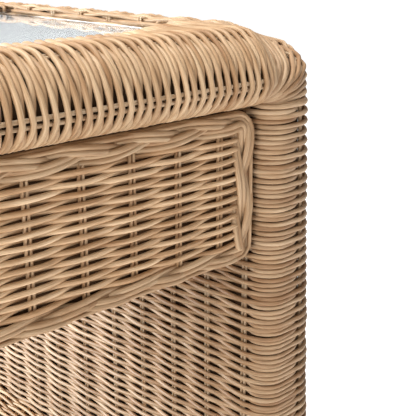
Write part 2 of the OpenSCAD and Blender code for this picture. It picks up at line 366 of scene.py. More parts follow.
def rattan(name, light, middle, dark):
    """Peeled rattan: fibres along the cane, blotches, and a tint of its own for each cane."""
    material, tree, shader = node_tree(name)
    place = add(tree, "ShaderNodeAttribute", attribute_name="cane_place").outputs["Vector"]
    ident = add(tree, "ShaderNodeAttribute", attribute_name="cane_id").outputs["Vector"]
    shift = scaled(tree, ident, (90, 60, 40))
    fibre = noise(tree, scaled(tree, place, (0.03, 1.3, 1.3), shift), 1.6, 5.0, 0.6)
    blotch = noise(tree, scaled(tree, place, (0.02, 0.12, 0.12), shift), 1.3, 3.0)
    colour = ramp(tree, fibre, [(0.28, dark), (0.47, middle), (0.68, light)])
    stain = ramp(tree, blotch, [(0.35, (0.70, 0.58, 0.46)), (0.58, (1, 1, 1))])
    colour = multiplied(tree, 0.75, colour, stain)
    split = add(tree, "ShaderNodeSeparateXYZ")
    tree.links.new(ident, split.inputs[0])
    tint = ramp(
        tree,
        split.outputs["X"],
        [
            (0.0, (0.76, 0.64, 0.52)),
            (0.35, (0.96, 0.91, 0.85)),
            (0.75, (1.04, 1.02, 0.98)),
            (1.0, (1.16, 1.15, 1.12)),
        ],
    )
    colour = multiplied(tree, 0.95, colour, tint)
    tree.links.new(colour, shader.inputs["Base Color"])
    rough = add(tree, "ShaderNodeMapRange")
    rough.inputs["To Min"].default_value = 0.62
    rough.inputs["To Max"].default_value = 0.42
    tree.links.new(fibre, rough.inputs["Value"])
    tree.links.new(rough.outputs["Result"], shader.inputs["Roughness"])
    shader.inputs["Specular IOR Level"].default_value = 0.35
    bump(tree, shader, fibre, 0.35, 0.0004)
    return material


def wood(name, light, dark, axis, rough=0.5, stretch=14.0, gloss=0.5):
    """Sawn or turned wood with its grain along an axis; a small stretch makes a coarse grain."""
    material, tree, shader = node_tree(name)
    place = add(tree, "ShaderNodeTexCoord").outputs["Object"]
    scale = [stretch * 6] * 3
    scale[axis] = stretch * 0.35
    rings = noise(tree, scaled(tree, place, tuple(scale)), 1.0, 6.0, 0.6)
    scale = [900.0] * 3
    scale[axis] = 25.0
    pores = noise(tree, scaled(tree, place, tuple(scale)), 1.0, 2.0)
    colour = ramp(tree, rings, [(0.3, dark), (0.62, light)])
    pore = ramp(tree, pores, [(0.3, (0.72, 0.66, 0.6)), (0.5, (1, 1, 1))])
    colour = multiplied(tree, 0.7, colour, pore)
    tree.links.new(colour, shader.inputs["Base Color"])
    shader.inputs["Roughness"].default_value = rough
    shader.inputs["Specular IOR Level"].default_value = gloss
    bump(tree, shader, pores, 0.25, 0.0003)
    return material


# Light, middle and dark colour of the fibres
RATTAN = rattan("rattan", (0.665, 0.49, 0.315), (0.535, 0.367, 0.218), (0.35, 0.215, 0.112))
# A darker copy of this rattan: painted shade on the front and back rims and the drawer's plaited
# border.
SHADED_FRONT_RATTAN = rattan("rattan_front_painted_shade", (0.60, 0.44, 0.287), (0.48, 0.33, 0.20), (0.315, 0.193, 0.103))
# A lighter copy of this rattan: painted light on the drawer's woven front.
LIT_PANEL_RATTAN = rattan("rattan_panel_painted_light", (0.76, 0.565, 0.37), (0.61, 0.422, 0.258), (0.40, 0.248, 0.133))
# A darker copy of this rattan: painted shade on the walls, their shoulders' fans and the side rims.
SHADED_WALL_RATTAN = rattan("rattan_wall_painted_shade", (0.555, 0.405, 0.265), (0.44, 0.30, 0.185), (0.29, 0.18, 0.095))
STAKE = rattan("rattan_stake", (0.62, 0.50, 0.36), (0.50, 0.37, 0.245), (0.33, 0.22, 0.13))


def shade_sheet_material(name):
    """Near-black sheet inside the weave, nearly without gloss: painted shade that shows through its
    gaps.
    """
    material, tree, shader = node_tree(name)
    place = add(tree, "ShaderNodeTexCoord").outputs["Object"]
    stops = [(0.3, (0.045, 0.025, 0.014)), (0.7, (0.085, 0.05, 0.028))]
    tree.links.new(ramp(tree, noise(tree, place, 60.0), stops), shader.inputs["Base Color"])
    shader.inputs["Roughness"].default_value = 0.9
    shader.inputs["Specular IOR Level"].default_value = 0.15
    bump(tree, shader, noise(tree, place, 500.0), 0.4, 0.0004)
    return material


SHADE_SHEET = shade_sheet_material("shade_sheet")


# ---------- Side walls ----------

FIRST_ROW = 4.0  # height of the lowest weaver above the end of the walls' weave
CORNER_TURN = 22.0  # where a corner's stakes stand, in degrees from straight ahead
SECOND_TURN = 75.0
OUTER_STAKES = STAKE_GAP * np.arange(-5, 6)  # along Y
INNER_FIRST = HALF_D - 30  # the inner face's stakes nearest the front and back
INNER_GAP = 45.6
NOSE_Y = 238.0  # a wall's narrow end is bound closely beyond this along Y
NOSE_IN = 38.0  # and further than this from its outer face
NOSE_CALM = 0.7  # share of the crimp that is lost there
WALL_ROWS = int((RIM_Z - SKIRT_Z - 6) / PITCH) + 2  # up to the foot of the fans
BANDS = 3  # a wall's weavers are this many pieces, one above the other


def lean(z):
    """How far the outer face stands from the CAD wall at a height."""
    return -LEAN_IN + (LEAN_IN + LEAN_OUT) * (RIM_Z - z) / RIM_Z


def outer_x(z):
    """Where the weave's middle is on the outer face at a height."""
    return HALF_W + lean(z) - SINK


def wall_outline(z):
    """Plan of a right-hand wall's weave at a height, as a loop from its inner face."""
    x_round, y_round = outer_x(z) - CORNER_R, FACE_Y - CORNER_R
    return join(
        line((INNER_X, 0), (INNER_X, IN_R - FACE_Y), (-1, 0)),
        arc((INNER_X + IN_R, IN_R - FACE_Y), IN_R, 180, 270),
        arc((x_round, -y_round), CORNER_R, -90, 0),
        arc((x_round, y_round), CORNER_R, 0, 90),
        arc((INNER_X + IN_R, FACE_Y - IN_R), IN_R, 90, 180),
        line((INNER_X, FACE_Y - IN_R), (INNER_X, 0), (-1, 0)),
    )


def inner_stakes():
    """Places of an inner face's stakes along Y."""
    near = INNER_FIRST - INNER_GAP * np.arange(5)
    return np.concatenate([-near, [0], near[::-1]])


def wall_stakes(z):
    """(x, y, nx, ny) of each stake of a right-hand wall, in order round the loop."""
    x_round, y_round = outer_x(z) - CORNER_R, FACE_Y - CORNER_R
    front = []
    for turn in (CORNER_TURN, SECOND_TURN):
        nx, ny = math.sin(math.radians(turn)), math.cos(math.radians(turn))
        front.append((x_round + CORNER_R * nx, -y_round - CORNER_R * ny, nx, -ny))
    back = [(x, -y, nx, -ny) for x, y, nx, ny in front[::-1]]
    inner_front = [(INNER_X, y, -1, 0) for y in inner_stakes() if y <= 0][::-1]
    outer = [(outer_x(z), y, 1, 0) for y in OUTER_STAKES if abs(y) < y_round]
    inner_back = [(INNER_X, y, -1, 0) for y in inner_stakes() if y > 0][::-1]
    return inner_front + front + outer + back + inner_back


def wall_rows(side, canes, first, last, rng):
    """Weavers of a wall, from row first up to last."""
    for row in range(first, last):
        z = SKIRT_Z + FIRST_ROW + PITCH * row
        outline = wall_outline(z)
        at, p, n = resample(outline)
        at, p, n = at[:-1], p[:-1], n[:-1]
        length = at[-1] + STEP
        places = [place_of(outline, (x, y)) for x, y, _, _ in wall_stakes(z)]
        stakes = [(place, CRIMP * (-1) ** (i + row)) for i, place in enumerate(places)]
        inwards = HALF_W + lean(z) - NOSE_IN - p[:, 0]
        nose = ease((np.abs(p[:, 1]) - NOSE_Y) / 10) * ease(inwards / 12)
        out = crimp(at, stakes, length) * (1 - NOSE_CALM * nose)
        out += wander(at, length, 0.3, rng)
        p = p + n * out[:, None]
        # Each row waves a little, much like the row below it
        rise = 0.7 * np.sin(2 * np.pi * (3 * at / length + 0.004 * z)) + rng.normal() * 0.25
        rise += wander(at, length, 0.4, rng)
        points = np.column_stack([side * p[:, 0], p[:, 1], z + rise])
        normals = np.column_stack([side * n[:, 0], n[:, 1], np.zeros(len(n))])
        canes.lay(points, normals, closed=True)


for side, label in BOTH_SIDES:
    nodes = [f"wall_{k}_{label}" for k in ("outer", "inner", "front_edge", "back_edge")]
    rng = np.random.default_rng(11 + side)
    edges = np.linspace(0, WALL_ROWS, BANDS + 1).astype(int)
    for band in range(BANDS):
        canes = Canes(20 + side * 5 + band)
        wall_rows(side, canes, edges[band], edges[band + 1], rng)
        canes.piece(f"wall_weave_{label}_{band + 1}", SHADED_WALL_RATTAN, "woven_rattan", replaces=nodes)

# ---------- Rim ----------

PIVOT = np.array([OPEN_X, RIM_Z])  # the fans at the corners of the arch open from here
MID_H = TABLE_H - TOP_SINK - RIM_Z  # height of the weave's middle at the crest, above the opening
RIM_R = CROWN_R - SINK  # rounding of the weave's middle from the front up to the crest
UNDER = CANE_R + 0.4  # height of the weave's middle under the rim, above the opening
UNDER_RUN = 24.0  # how far a weaver runs back under the rim
SIDE_OUT = HALF_W - LEAN_IN - SINK
WALL_TOP_R = 14.0  # the shoulder turns tightly at the top of the wall, then slopes up to the crest
CREST_R = 118.0
CREST_TURN = 64.5  # degrees of the tight turn
CREST_DIP = 1.5  # the side rims are this much lower than the front and back
CREST_END_R = 6.5  # rounding where the crest turns down to the glass
CREST_FLAT = 14.0  # width of the flat crest in the middle of the front and back rims
CREST_GROWTH = 30.0  # how much it gains up to a rounded corner of the recess, and again in it
CORNER_SWELL = 13.0  # the corners of the arch are rounder than the wall and the crown
CORNER_SLOPE = 1.17  # and up to this share longer along Y
RIM_REACH = 24.0  # how far from a stake the rim's weavers are back in line
UNDER_STAKE = 34.0  # how far behind the front the stake under the rim stands
UPPER_TURN = 67.0  # where the rim's upper stakes stand, in degrees from straight ahead
UPPER_SINK = 3.0  # how far the upper stakes lie below the weave's middle
HIDE_DEPTH = 2.6  # how far in a fan's cane goes where it is behind its neighbours
HIDE_RUN = 22.0  # length over which it goes in
FAN_HIDDEN = (34.0, 62.0, 46.0, 62.0)  # how far from the pivot four fan canes in turn come out

# Mid-line of the shoulder in (x, z), from the top of the wall up and inwards
crest_z = RIM_Z + MID_H - CREST_DIP
bend = math.radians(CREST_TURN)
crest_x = SIDE_OUT - WALL_TOP_R - (CREST_R - WALL_TOP_R) * math.cos(bend)
wall_top_z = crest_z - CREST_R + (CREST_R - WALL_TOP_R) * math.sin(bend)
SHOULDER = join(
    line((SIDE_OUT, RIM_Z), (SIDE_OUT, wall_top_z), (1, 0)),
    arc((SIDE_OUT - WALL_TOP_R, wall_top_z), WALL_TOP_R, 0, CREST_TURN, 3),
    arc((crest_x, crest_z - CREST_R), CREST_R, CREST_TURN, 90, 2),
    line((crest_x, crest_z), (OPEN_X, crest_z + CREST_DIP), (0, 1)),
)
SHOULDER_AT, SHOULDER_P, SHOULDER_N = resample(SHOULDER, FINE_STEP)


# A section cuts the arch in a plane through the pivot along Y. Its turn goes from 0 at the top
# of the wall to 1 on the rim, and its reach is the distance from the pivot to the shoulder.


def inner_s(turn):
    """Distance from the pivot to the weave inside the opening."""
    return INNER_SINK + (UNDER - INNER_SINK) * turn


def hump(turn, skew):
    """0 at the wall and on the rim, 1 between them; more skew moves its top to the rim."""
    return abs(math.sin(math.pi * turn**skew)) ** 1.5


def outer_r(turn, reach):
    """Rounding between the front and the outside."""
    wanted = CORNER_R * (1 - turn) + RIM_R * turn + CORNER_SWELL * hump(turn, 1.4)
    return min(wanted, reach - inner_s(turn) - IN_R - 0.5)


def outer_y(turn, reach):
    """The same rounding's length along Y; the top slopes down to the front and back corners."""
    return outer_r(turn, reach) * (1 + CORNER_SLOPE * hump(turn, 1.49))


def rim_profile(turn, reach):
    """Parts of a section from inside the opening to the outside, as (distance, y)."""
    s_in = inner_s(turn)
    r_out, y_out = outer_r(turn, reach), outer_y(turn, reach)
    return [
        line((s_in, IN_R - FACE_Y + UNDER_RUN), (s_in, IN_R - FACE_Y), (-1, 0)),
        arc((s_in + IN_R, IN_R - FACE_Y), IN_R, 180, 270),
        arc((reach - r_out, y_out - FACE_Y), (r_out, y_out), -90, 0),
    ]


def drop(turn, reach, flat):
    """The rest of a section: flat over the crest, then down to the glass."""
    y = outer_y(turn, reach) - FACE_Y
    return [
        line((reach, y), (reach, y + flat), (1, 0)),
        arc((reach - CREST_END_R, y + flat), CREST_END_R, 0, 90),
    ]


def lower_stake(turn):
    """(distance, y) where a weaver passes the lower stake, at the front of the inner rounding."""
    return inner_s(turn) + IN_R - 0.5, -FACE_Y


def upper_stake(turn, reach):
    """(distance, y) where a weaver passes the crown's upper stake or a wall's corner stake."""
    a = math.radians(CORNER_TURN + (UPPER_TURN - CORNER_TURN) * turn)
    r_out, y_out = outer_r(turn, reach), outer_y(turn, reach)
    return np.array([reach - r_out + r_out * math.sin(a), y_out - FACE_Y - y_out * math.cos(a)])


def lay_section(canes, outline, stakes, direction, pivot, flip, rng, sink=0.0, hidden=0.0):
    """Lays a weaver in the plane through the pivot along direction (x, z) and Y.

    flip mirrors it in X and Y. sink sets all of it further in, and nearer the pivot than
    hidden it goes in behind its neighbours.
    """
    at, p, n = resample(outline, SECTION_STEP)
    places = [(place_of(outline, point), height) for point, height in stakes]
    out = crimp(at, places, peaked=True, reach=RIM_REACH)
    out += wander(at, at[-1], 0.2, rng, (1, 5)) - sink
    out -= HIDE_DEPTH * ease((hidden - p[:, 0]) / HIDE_RUN)
    p = p + n * out[:, None]
    sway = wander(at, at[-1], 0.45, rng, (1, 4))
    dx, dz = direction
    x = pivot[0] + p[:, 0] * dx - sway * dz
    z = pivot[1] + p[:, 0] * dz + sway * dx
    points = np.column_stack([flip[0] * x, flip[1] * p[:, 1], z])
    normals = np.column_stack([flip[0] * n[:, 0] * dx, flip[1] * n[:, 1], n[:, 0] * dz])
    canes.lay(points, normals)


def front_flat(x):
    """Width of the flat crest at a place along the front or back rim."""
    return CREST_FLAT + CREST_GROWTH * ease((abs(x) - 60) / 90)


def front_rim(end):
    """Weavers over the front (-1) or back (1) rim, between the two corners."""
    canes = Canes(40 + end)
    rng = np.random.default_rng(50 + end)
    count = int(2 * OPEN_X / PITCH)
    for i in range(count):
        x = (i - (count - 1) / 2) * 2 * OPEN_X / count
        height = CRIMP * (-1) ** i
        outline = join(*rim_profile(1.0, MID_H), *drop(1.0, MID_H, front_flat(x)))
        stakes = [
            ((UNDER, UNDER_STAKE - FACE_Y), 0.3 * height),
            (lower_stake(1.0), 1.2 * height),
            (upper_stake(1.0, MID_H), -0.6 * height),
            ((MID_H, RIM_R - FACE_Y + front_flat(x)), 0.5 * height),
        ]
        start = (x + rng.normal() * 0.35, RIM_Z)
        lay_section(canes, outline, stakes, (0, 1), start, (1, -end), rng)
    return canes


FAN_ROWS = int(round(SHOULDER_AT[-1] / FAN_PITCH))
EDGE_X = GLASS_X + 5.5  # innermost weaver that runs from front to back over a side rim


def turn_and_reach(x, z):
    """Turn and reach of the section through a point."""
    arm = np.array([x, z]) - PIVOT
    return math.degrees(math.atan2(arm[1], arm[0])) / 90, np.linalg.norm(arm)


def corner_flat(x):
    """Width of the crest in a corner of the recess."""
    far_in = np.clip((x - OPEN_X) / (EDGE_X - OPEN_X), 0, 1)
    return CREST_FLAT + CREST_GROWTH + CREST_GROWTH * far_in**1.4


def side_rim(side):
    """The fans at both ends of a side rim, and its weavers from front to back."""
    canes = Canes(60 + side)
    rng = np.random.default_rng(70 + side)
    for i in range(FAN_ROWS):
        place = (i + 0.5) * SHOULDER_AT[-1] / FAN_ROWS
        far = np.array([np.interp(place, SHOULDER_AT, c) for c in SHOULDER_P.T])
        turn, reach = turn_and_reach(*far)
        direction = (far - PIVOT) / reach
        height = CRIMP * (-1) ** (i + WALL_ROWS)
        sink = rng.uniform(0, 1.0) * ease(2 - 2 * abs(turn - 0.4))
        hidden = FAN_HIDDEN[i % len(FAN_HIDDEN)] * ease(4 - 4 * turn)
        # Only the upper half of a fan is crimped over the lower stake
        stakes = [
            (upper_stake(turn, reach), -0.8 * height),
            (lower_stake(turn), 1.1 * height * ease(2.5 * turn - 1.2)),
        ]
        profile = rim_profile(turn, reach)
        if far[0] > EDGE_X:
            y_end = FACE_Y - outer_y(turn, reach)
            for k, y in enumerate(OUTER_STAKES):
                last = y in (OUTER_STAKES[0], OUTER_STAKES[-1])
                fade = ease(1.6 - 1.8 * turn) if last else 1.0
                stakes.append(((reach, y), height * fade * (-1) ** k))
            back = [((p * (1, -1))[::-1], (n * (1, -1))[::-1]) for p, n in profile[::-1]]
            stakes += [((s, -y), h) for (s, y), h in stakes[:2]]
            outline = join(*profile, line((reach, -y_end), (reach, y_end), (1, 0)), *back)
            lay_section(canes, outline, stakes, direction, PIVOT, (side, 1), rng, sink, hidden)
        else:
            outline = join(*profile, *drop(turn, reach, corner_flat(far[0])))
            for flip in (1, -1):
                lay_section(canes, outline, stakes, direction, PIVOT, (side, flip), rng, sink, hidden)
    return canes


def side_inner_rows(side, canes):
    """Weavers from front to back down a side rim's inner face, as far as the glass."""
    rng = np.random.default_rng(80 + side)
    y_end = GLASS_Y - 4
    # Place across, height above the glass, tilt upwards in degrees, and crimp of each weaver
    rows = ((1.8, 7.0, 40, 2.4), (-0.4, 2.9, 10, 2.2), (0.0, -1.0, 0, 0.2), (0.0, -5.0, 0, 0.2))
    for k, (across, above, tilt, height) in enumerate(rows):
        x = RECESS_X + across
        z = GLASS_TOP + above
        at = np.linspace(-y_end, y_end, int(2 * y_end / STEP))
        heights = [(y, height * (-1) ** (j + k)) for j, y in enumerate(OUTER_STAKES)]
        out = crimp(at, heights)
        a = math.radians(tilt)
        nx, nz = -math.cos(a), math.sin(a)
        up = wander(at + y_end, 2 * y_end, 0.35, rng)
        points = np.column_stack([side * (x + nx * out), at, z + nz * out + up])
        canes.lay(points, np.tile([side * nx, 0, nz], (len(at), 1)))


for side, label in BOTH_SIDES:
    canes = side_rim(side)
    side_inner_rows(side, canes)
    canes.piece(f"rim_weave_{label}", SHADED_WALL_RATTAN, "woven_rattan", replaces=[f"rim_{label}"])
for end, label in BOTH_ENDS:
    front_rim(end).piece(f"rim_weave_{label}", SHADED_FRONT_RATTAN, "woven_rattan", replaces=[f"rim_{label}"])

# ---------- Stakes of the arch ----------


def over_shoulder(y):
    """Points and normals of a stake over the shoulder, at a place along Y.

    Near the front and back it comes down with the rounding of the corner.
    """
    last = np.interp(-EDGE_X, -SHOULDER_P[:, 0], SHOULDER_AT)
    points, normals = [], []
    for place in np.arange(4, last, 6.0):
        x, z, nx, nz = (np.interp(place, SHOULDER_AT, c) for c in (*SHOULDER_P.T, *SHOULDER_N.T))
        turn, reach = turn_and_reach(x, z)
        r, long = outer_r(turn, reach), outer_y(turn, reach)
        past = max(0, abs(y) - (FACE_Y - long)) / long
        nearer = 1 - r * (1 - math.sqrt(1 - past**2)) / reach
        points.append([PIVOT[0] + (x - PIVOT[0]) * nearer, y, PIVOT[1] + (z - PIVOT[1]) * nearer])
        normals.append([nx, 0, nz])
    return points, normals


def wall_stake_canes(side):
    """A wall's stakes; those of its outer face go on over the shoulder to the glass."""
    canes = Canes(90 + side)
    low, high = wall_stakes(SKIRT_Z), wall_stakes(RIM_Z)
    mirror = np.array([side, 1, 1])
    for (x0, y0, nx, ny), (x1, y1, _, _) in zip(low, high):
        t = np.linspace(0, 1, 44)[:, None]
        foot, head = np.array([x0, y0, SKIRT_Z]), np.array([x1, y1, RIM_Z])
        points = foot + (head - foot) * t
        normals = np.tile([nx, ny, 0.0], (len(t), 1))
        if nx == 1:
            over, over_normals = over_shoulder(y1)
            down = [[RECESS_X, y1, TABLE_H - TOP_SINK - d] for d in (1.5, 5.0, 8.0)]
            points = np.concatenate([points, over, down])
            normals = np.concatenate([normals, over_normals, [[-1.0, 0, 0]] * len(down)])
        across = np.array([-ny, nx, 0.0])
        stake_pair(canes, points * mirror, normals * mirror, across * mirror)
    return canes


def corner_stake():
    """Path of the crown's upper stake over the front and down through both fans."""
    angles = np.degrees(np.arctan2(SHOULDER_P[:, 1] - RIM_Z, SHOULDER_P[:, 0] - OPEN_X))
    reaches = np.linalg.norm(SHOULDER_P - PIVOT, axis=1)
    path = []
    for turn in np.linspace(0, 1, 16):
        a = math.radians(90 * turn)
        s, y = upper_stake(turn, np.interp(90 * turn, angles, reaches))
        path.append([PIVOT[0] + s * math.cos(a), y, PIVOT[1] + s * math.sin(a)])
    right = np.array(path)
    return np.concatenate([right, right[::-1] * (-1, 1, 1)])


def rim_stake_canes():
    """Pairs of stakes under, in front of and on top of the front and back rims."""
    canes = Canes(95)
    x = np.linspace(-OPEN_X - 6, OPEN_X + 6, 50)
    low_z, low_y = lower_stake(1.0)
    rows = [
        (UNDER_STAKE - FACE_Y, RIM_Z + UNDER, (0, 0, -1.0)),
        (low_y, RIM_Z + low_z, (0, -1.0, 0)),
    ]
    path = corner_stake()
    tilt = path - np.array([0, RIM_R - FACE_Y, RIM_Z])
    tilt[:, 0] *= 0.6
    tilt /= np.linalg.norm(tilt, axis=1)[:, None]
    across = np.cross(np.gradient(path, axis=0), tilt)
    across /= np.linalg.norm(across, axis=1)[:, None]
    for end in (-1, 1):
        flip = np.array([1, -end, 1])
        for py, pz, n in rows:
            points = np.column_stack([x, np.full(len(x), py), np.full(len(x), pz)])
            normals = np.tile(n, (len(x), 1))
            beside = np.cross([1.0, 0, 0], n) * flip
            stake_pair(canes, points * flip, normals * flip, beside, RIM_STAKE_R)
        stake_pair(canes, (path - UPPER_SINK * tilt) * flip, tilt * flip, across * flip)
    return canes


for side, label in BOTH_SIDES:
    wall_stake_canes(side).piece(f"wall_stakes_{label}", STAKE, "woven_rattan")
rim_stake_canes().piece("rim_stakes", STAKE, "woven_rattan")


# ---------- Flat woven panels ----------


def panel(seed, x_end, z0, z1, y_mid, facing, stake_x, pitch, height):
    """A flat panel of level weavers, facing -Y (-1) or +Y (1), crimped to height at its stakes."""
    canes = Canes(seed)
    rng = np.random.default_rng(seed + 1)
    rows = int(round((z1 - z0) / pitch))
    for row in range(rows):
        z = z0 + (row + 0.5) * (z1 - z0) / rows
        at = np.linspace(-x_end, x_end, int(2 * x_end / STEP) + 1)
        out = crimp(at, [(x, height * (-1) ** (i + row)) for i, x in enumerate(stake_x)])
        out += wander(at + x_end, 2 * x_end, 0.2, rng)
        up = wander(at + x_end, 2 * x_end, 0.4, rng)
        up += 0.5 * np.sin(at / 37 + z * 0.02)
        points = np.column_stack([at, y_mid + facing * out, z + up])
        canes.lay(points, np.tile([0.0, facing, 0], (len(at), 1)))
    for x in stake_x:
        z = np.linspace(z0 - 2, z1 + 2, max(3, int((z1 - z0 + 4) / 12)))
        points = np.column_stack([np.full(len(z), x), np.full(len(z), y_mid), z])
        normals = np.tile([0.0, facing, 0.0], (len(z), 1))
        stake_pair(canes, points, normals, np.array([1.0, 0, 0]))
    return canes


PANEL_STAKES = 3 + 44.0 * np.arange(-3, 4)
BORDER_DROP = 4.0  # the plaited border hangs this far below the drawer's solid front
drawer_weave = panel(
    seed=110,
    x_end=panel_hi[0] + 3,
    z0=panel_lo[2] - BORDER_DROP,
    z1=panel_hi[2],
    y_mid=panel_hi[1] - 3.4,
    facing=-1,
    stake_x=PANEL_STAKES,
    pitch=PANEL_PITCH,
    height=3.0,
)
drawer_weave.piece("drawer_weave", LIT_PANEL_RATTAN, "drawer_rattan", "drawer", ["drawer_front_weave"])
apron_weave = panel(
    seed=120,
    x_end=apron_hi[0] + 4,
    z0=apron_lo[2],
    z1=apron_hi[2],
    y_mid=apron_lo[1] + 4.6,
    facing=1,
    stake_x=PANEL_STAKES,
    pitch=PITCH,
    height=2.5,
)
apron_weave.piece("apron_weave", RATTAN, "woven_rattan", "table", ["back_apron_weave"])

# ---------- Plaited border of the drawer front ----------

PLAIT_R = 2.4
PLAIT_TURN = 165.0  # length of one full turn of a ply
PLAIT_DEPTH = 3.0  # how far the plies pass over and under each other
PLAIT_STEP = 3.0  # spacing of the rings along a ply
BORDER_TOP_R, BORDER_LOW_R = 8.0, 4.0  # rounding of the border's corners
BORDER_FRONT = 4.4  # from the back of the CAD's border to the middle of the plait


def border_path(inset):
    """Loop round the drawer's border: (distances, points, outward normals, half widths).

    inset moves the loop from the middle of the border (0) to its outer edge (1).
    """
    side_w = braid_hi[0] - panel_hi[0]
    top_w, low_w = braid_hi[2] - panel_hi[2], panel_lo[2] - braid_lo[2]
    x = braid_hi[0] - side_w / 2
    z0, z1 = braid_lo[2] + low_w / 2 - BORDER_DROP, braid_hi[2] - top_w / 2
    top_r, low_r = BORDER_TOP_R, BORDER_LOW_R
    outline = join(
        line((0, z0), (x - low_r, z0), (0, -1)),
        arc((x - low_r, z0 + low_r), low_r, -90, 0, 8),
        arc((x - top_r, z1 - top_r), top_r, 0, 90, 8),
        arc((-x + top_r, z1 - top_r), top_r, 90, 180, 8),
        arc((-x + low_r, z0 + low_r), low_r, 180, 270, 8),
        line((-x + low_r, z0), (0, z0), (0, -1)),
    )
    at, p, n = resample(outline, PLAIT_STEP)
    up = n[:, 1]
    width = np.where(up > 0, side_w + (top_w - side_w) * up, side_w + (side_w - low_w) * up) / 2
    return at[:-1], p[:-1] + n[:-1] * (inset * width[:-1])[:, None], n[:-1], width[:-1]


def braid():
    """Three plies of two canes plaited flat, inside a pair of straight canes."""
    canes = Canes(130)
    at, p, n, half = border_path(0)
    length = at[-1] + PLAIT_STEP
    turns = round(length / PLAIT_TURN)
    y_mid = braid_hi[1] - BORDER_FRONT
    facing = np.tile([0.0, -1, 0], (len(at), 1))
    for ply in range(3):
        phase = 2 * np.pi * (turns * at / length + ply / 3)
        for core in (-1, 1):
            across = (half - 1.6 * PLAIT_R) * np.sin(phase) + core * PLAIT_R * 0.8
            across += wander(at, length, 0.3, canes.rng) - 0.4
            depth = PLAIT_DEPTH * np.sin(2 * phase) + wander(at, length, 0.3, canes.rng)
            q = p + n * across[:, None]
            points = np.column_stack([q[:, 0], y_mid - depth, q[:, 1]])
            canes.lay(points, facing, PLAIT_R, closed=True)
    # Distance from the border's outer edge, distance before its middle, and radius
    for edge, depth, radius in ((-1.6, -1.2, 2.0), (-2.6, 1.6, 1.7)):
        _, q, _, _ = border_path(1)
        q = q + n * (edge + wander(at, length, 0.25, canes.rng))[:, None]
        points = np.column_stack([q[:, 0], np.full(len(q), y_mid - depth), q[:, 1]])
        canes.lay(points, facing, radius, closed=True)
    return canes


braid().piece("drawer_border", SHADED_FRONT_RATTAN, "plaited_rattan", "drawer", ["drawer_braid"])

# ---------- Dark sheets inside the weave: painted shade behind its gaps ---

SHADE_SHEET_IN = 4.5  # how far inside the weave's middle the dark shade sheet lies
SHADE_SHEET_THICK = 0.8


def shade_sheet(name, rows, closed):
    """A thin dark sheet behind the weave, painted shade, through rows of points; closed rows meet
    themselves.
    """
    rows = np.array(rows)
    count, wide = rows.shape[:2]
    i = np.arange(count - 1)[:, None]
    k = np.arange(wide if closed else wide - 1)[None]
    j = (k + 1) % wide
    faces = np.stack([i * wide + k, i * wide + j, (i + 1) * wide + j, (i + 1) * wide + k], -1)
    mesh = bpy.data.meshes.new(name)
    mesh.from_pydata((rows.reshape(-1, 3) * MM).tolist(), [], faces.reshape(-1, 4).tolist())
    mesh.polygons.foreach_set("use_smooth", np.ones(len(mesh.polygons), bool))
    mesh.materials.append(SHADE_SHEET)
    obj = bpy.data.objects.new(name, mesh)
    scene.collection.objects.link(obj)
    thick = obj.modifiers.new("thickness", "SOLIDIFY")
    thick.thickness = SHADE_SHEET_THICK * MM
    thick.offset = 0
    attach(obj, "table")


def spread(outline, count):
    """A fixed number of places along an outline, moved inside the weave."""
    at, p, n = resample(outline, FINE_STEP)
    want = np.linspace(0, at[-1], count)
    return np.stack([np.interp(want, at, c) for c in (p - n * SHADE_SHEET_IN).T], 1)


def shade_arch(side, label):
    """The dark shade sheets of a wall, of its shoulder and corners, and of the recess beside the
    glass.
    """
    mirror = np.array([side, 1, 1])
    rows = []
    for z in (SKIRT_Z + 2, RIM_Z):
        q = spread(wall_outline(z), 160)[:-1]
        rows.append(np.column_stack([q, np.full(len(q), z)]) * mirror)
    shade_sheet(f"wall_shade_sheet_{label}", rows, True)
    for end, name in BOTH_ENDS:
        shoulder, corner = [], []
        for far in SHOULDER_P:
            turn, reach = turn_and_reach(*far)
            direction = (far - PIVOT) / reach
            over = line((reach, outer_y(turn, reach) - HALF_D), (reach, 0), (1, 0))
            wide = far[0] > EDGE_X + 4
            ends = [over] if wide else drop(turn, reach, corner_flat(far[0]))
            q = spread(join(*rim_profile(turn, reach), *ends), 90)
            x, z = PIVOT[:, None] + direction[:, None] * np.clip(q[:, 0], 1, None)
            row = np.column_stack([x, -end * q[:, 1], z]) * mirror
            (shoulder if wide else corner).append(row)
        shade_sheet(f"shoulder_shade_sheet_{label}_{name}", shoulder, False)
        shade_sheet(f"corner_shade_sheet_{label}_{name}", corner, False)
    y = np.linspace(-GLASS_Y, GLASS_Y, 30)
    levels = (GLASS_TOP - 9, GLASS_TOP - 2, GLASS_TOP + 5)
    rows = [np.column_stack([np.full(30, GLASS_X + 8), y, np.full(30, z)]) * mirror for z in levels]
    shade_sheet(f"recess_shade_sheet_{label}", rows, False)


def shade_rim(end, label):
    """The dark shade sheet of the front (-1) or back (1) rim."""
    rows = []
    for x in np.linspace(-OPEN_X - 2, OPEN_X + 2, 40):
        q = spread(join(*rim_profile(1.0, MID_H), *drop(1.0, MID_H, front_flat(x))), 70)
        rows.append(np.column_stack([np.full(len(q), x), -end * q[:, 1], RIM_Z + q[:, 0]]))
    shade_sheet(f"rim_shade_sheet_{label}", rows, False)


for side, label in BOTH_SIDES:
    shade_arch(side, label)
for end, label in BOTH_ENDS:
    shade_rim(end, label)

# ---------- Shelf ----------


SHELF_SINK = 2.6  # depth of the weave's middle below the shelf's outline
SHELF_CRIMP = 2.4
SHELF_GAPS = 24  # gaps between the stakes, once round the shelf


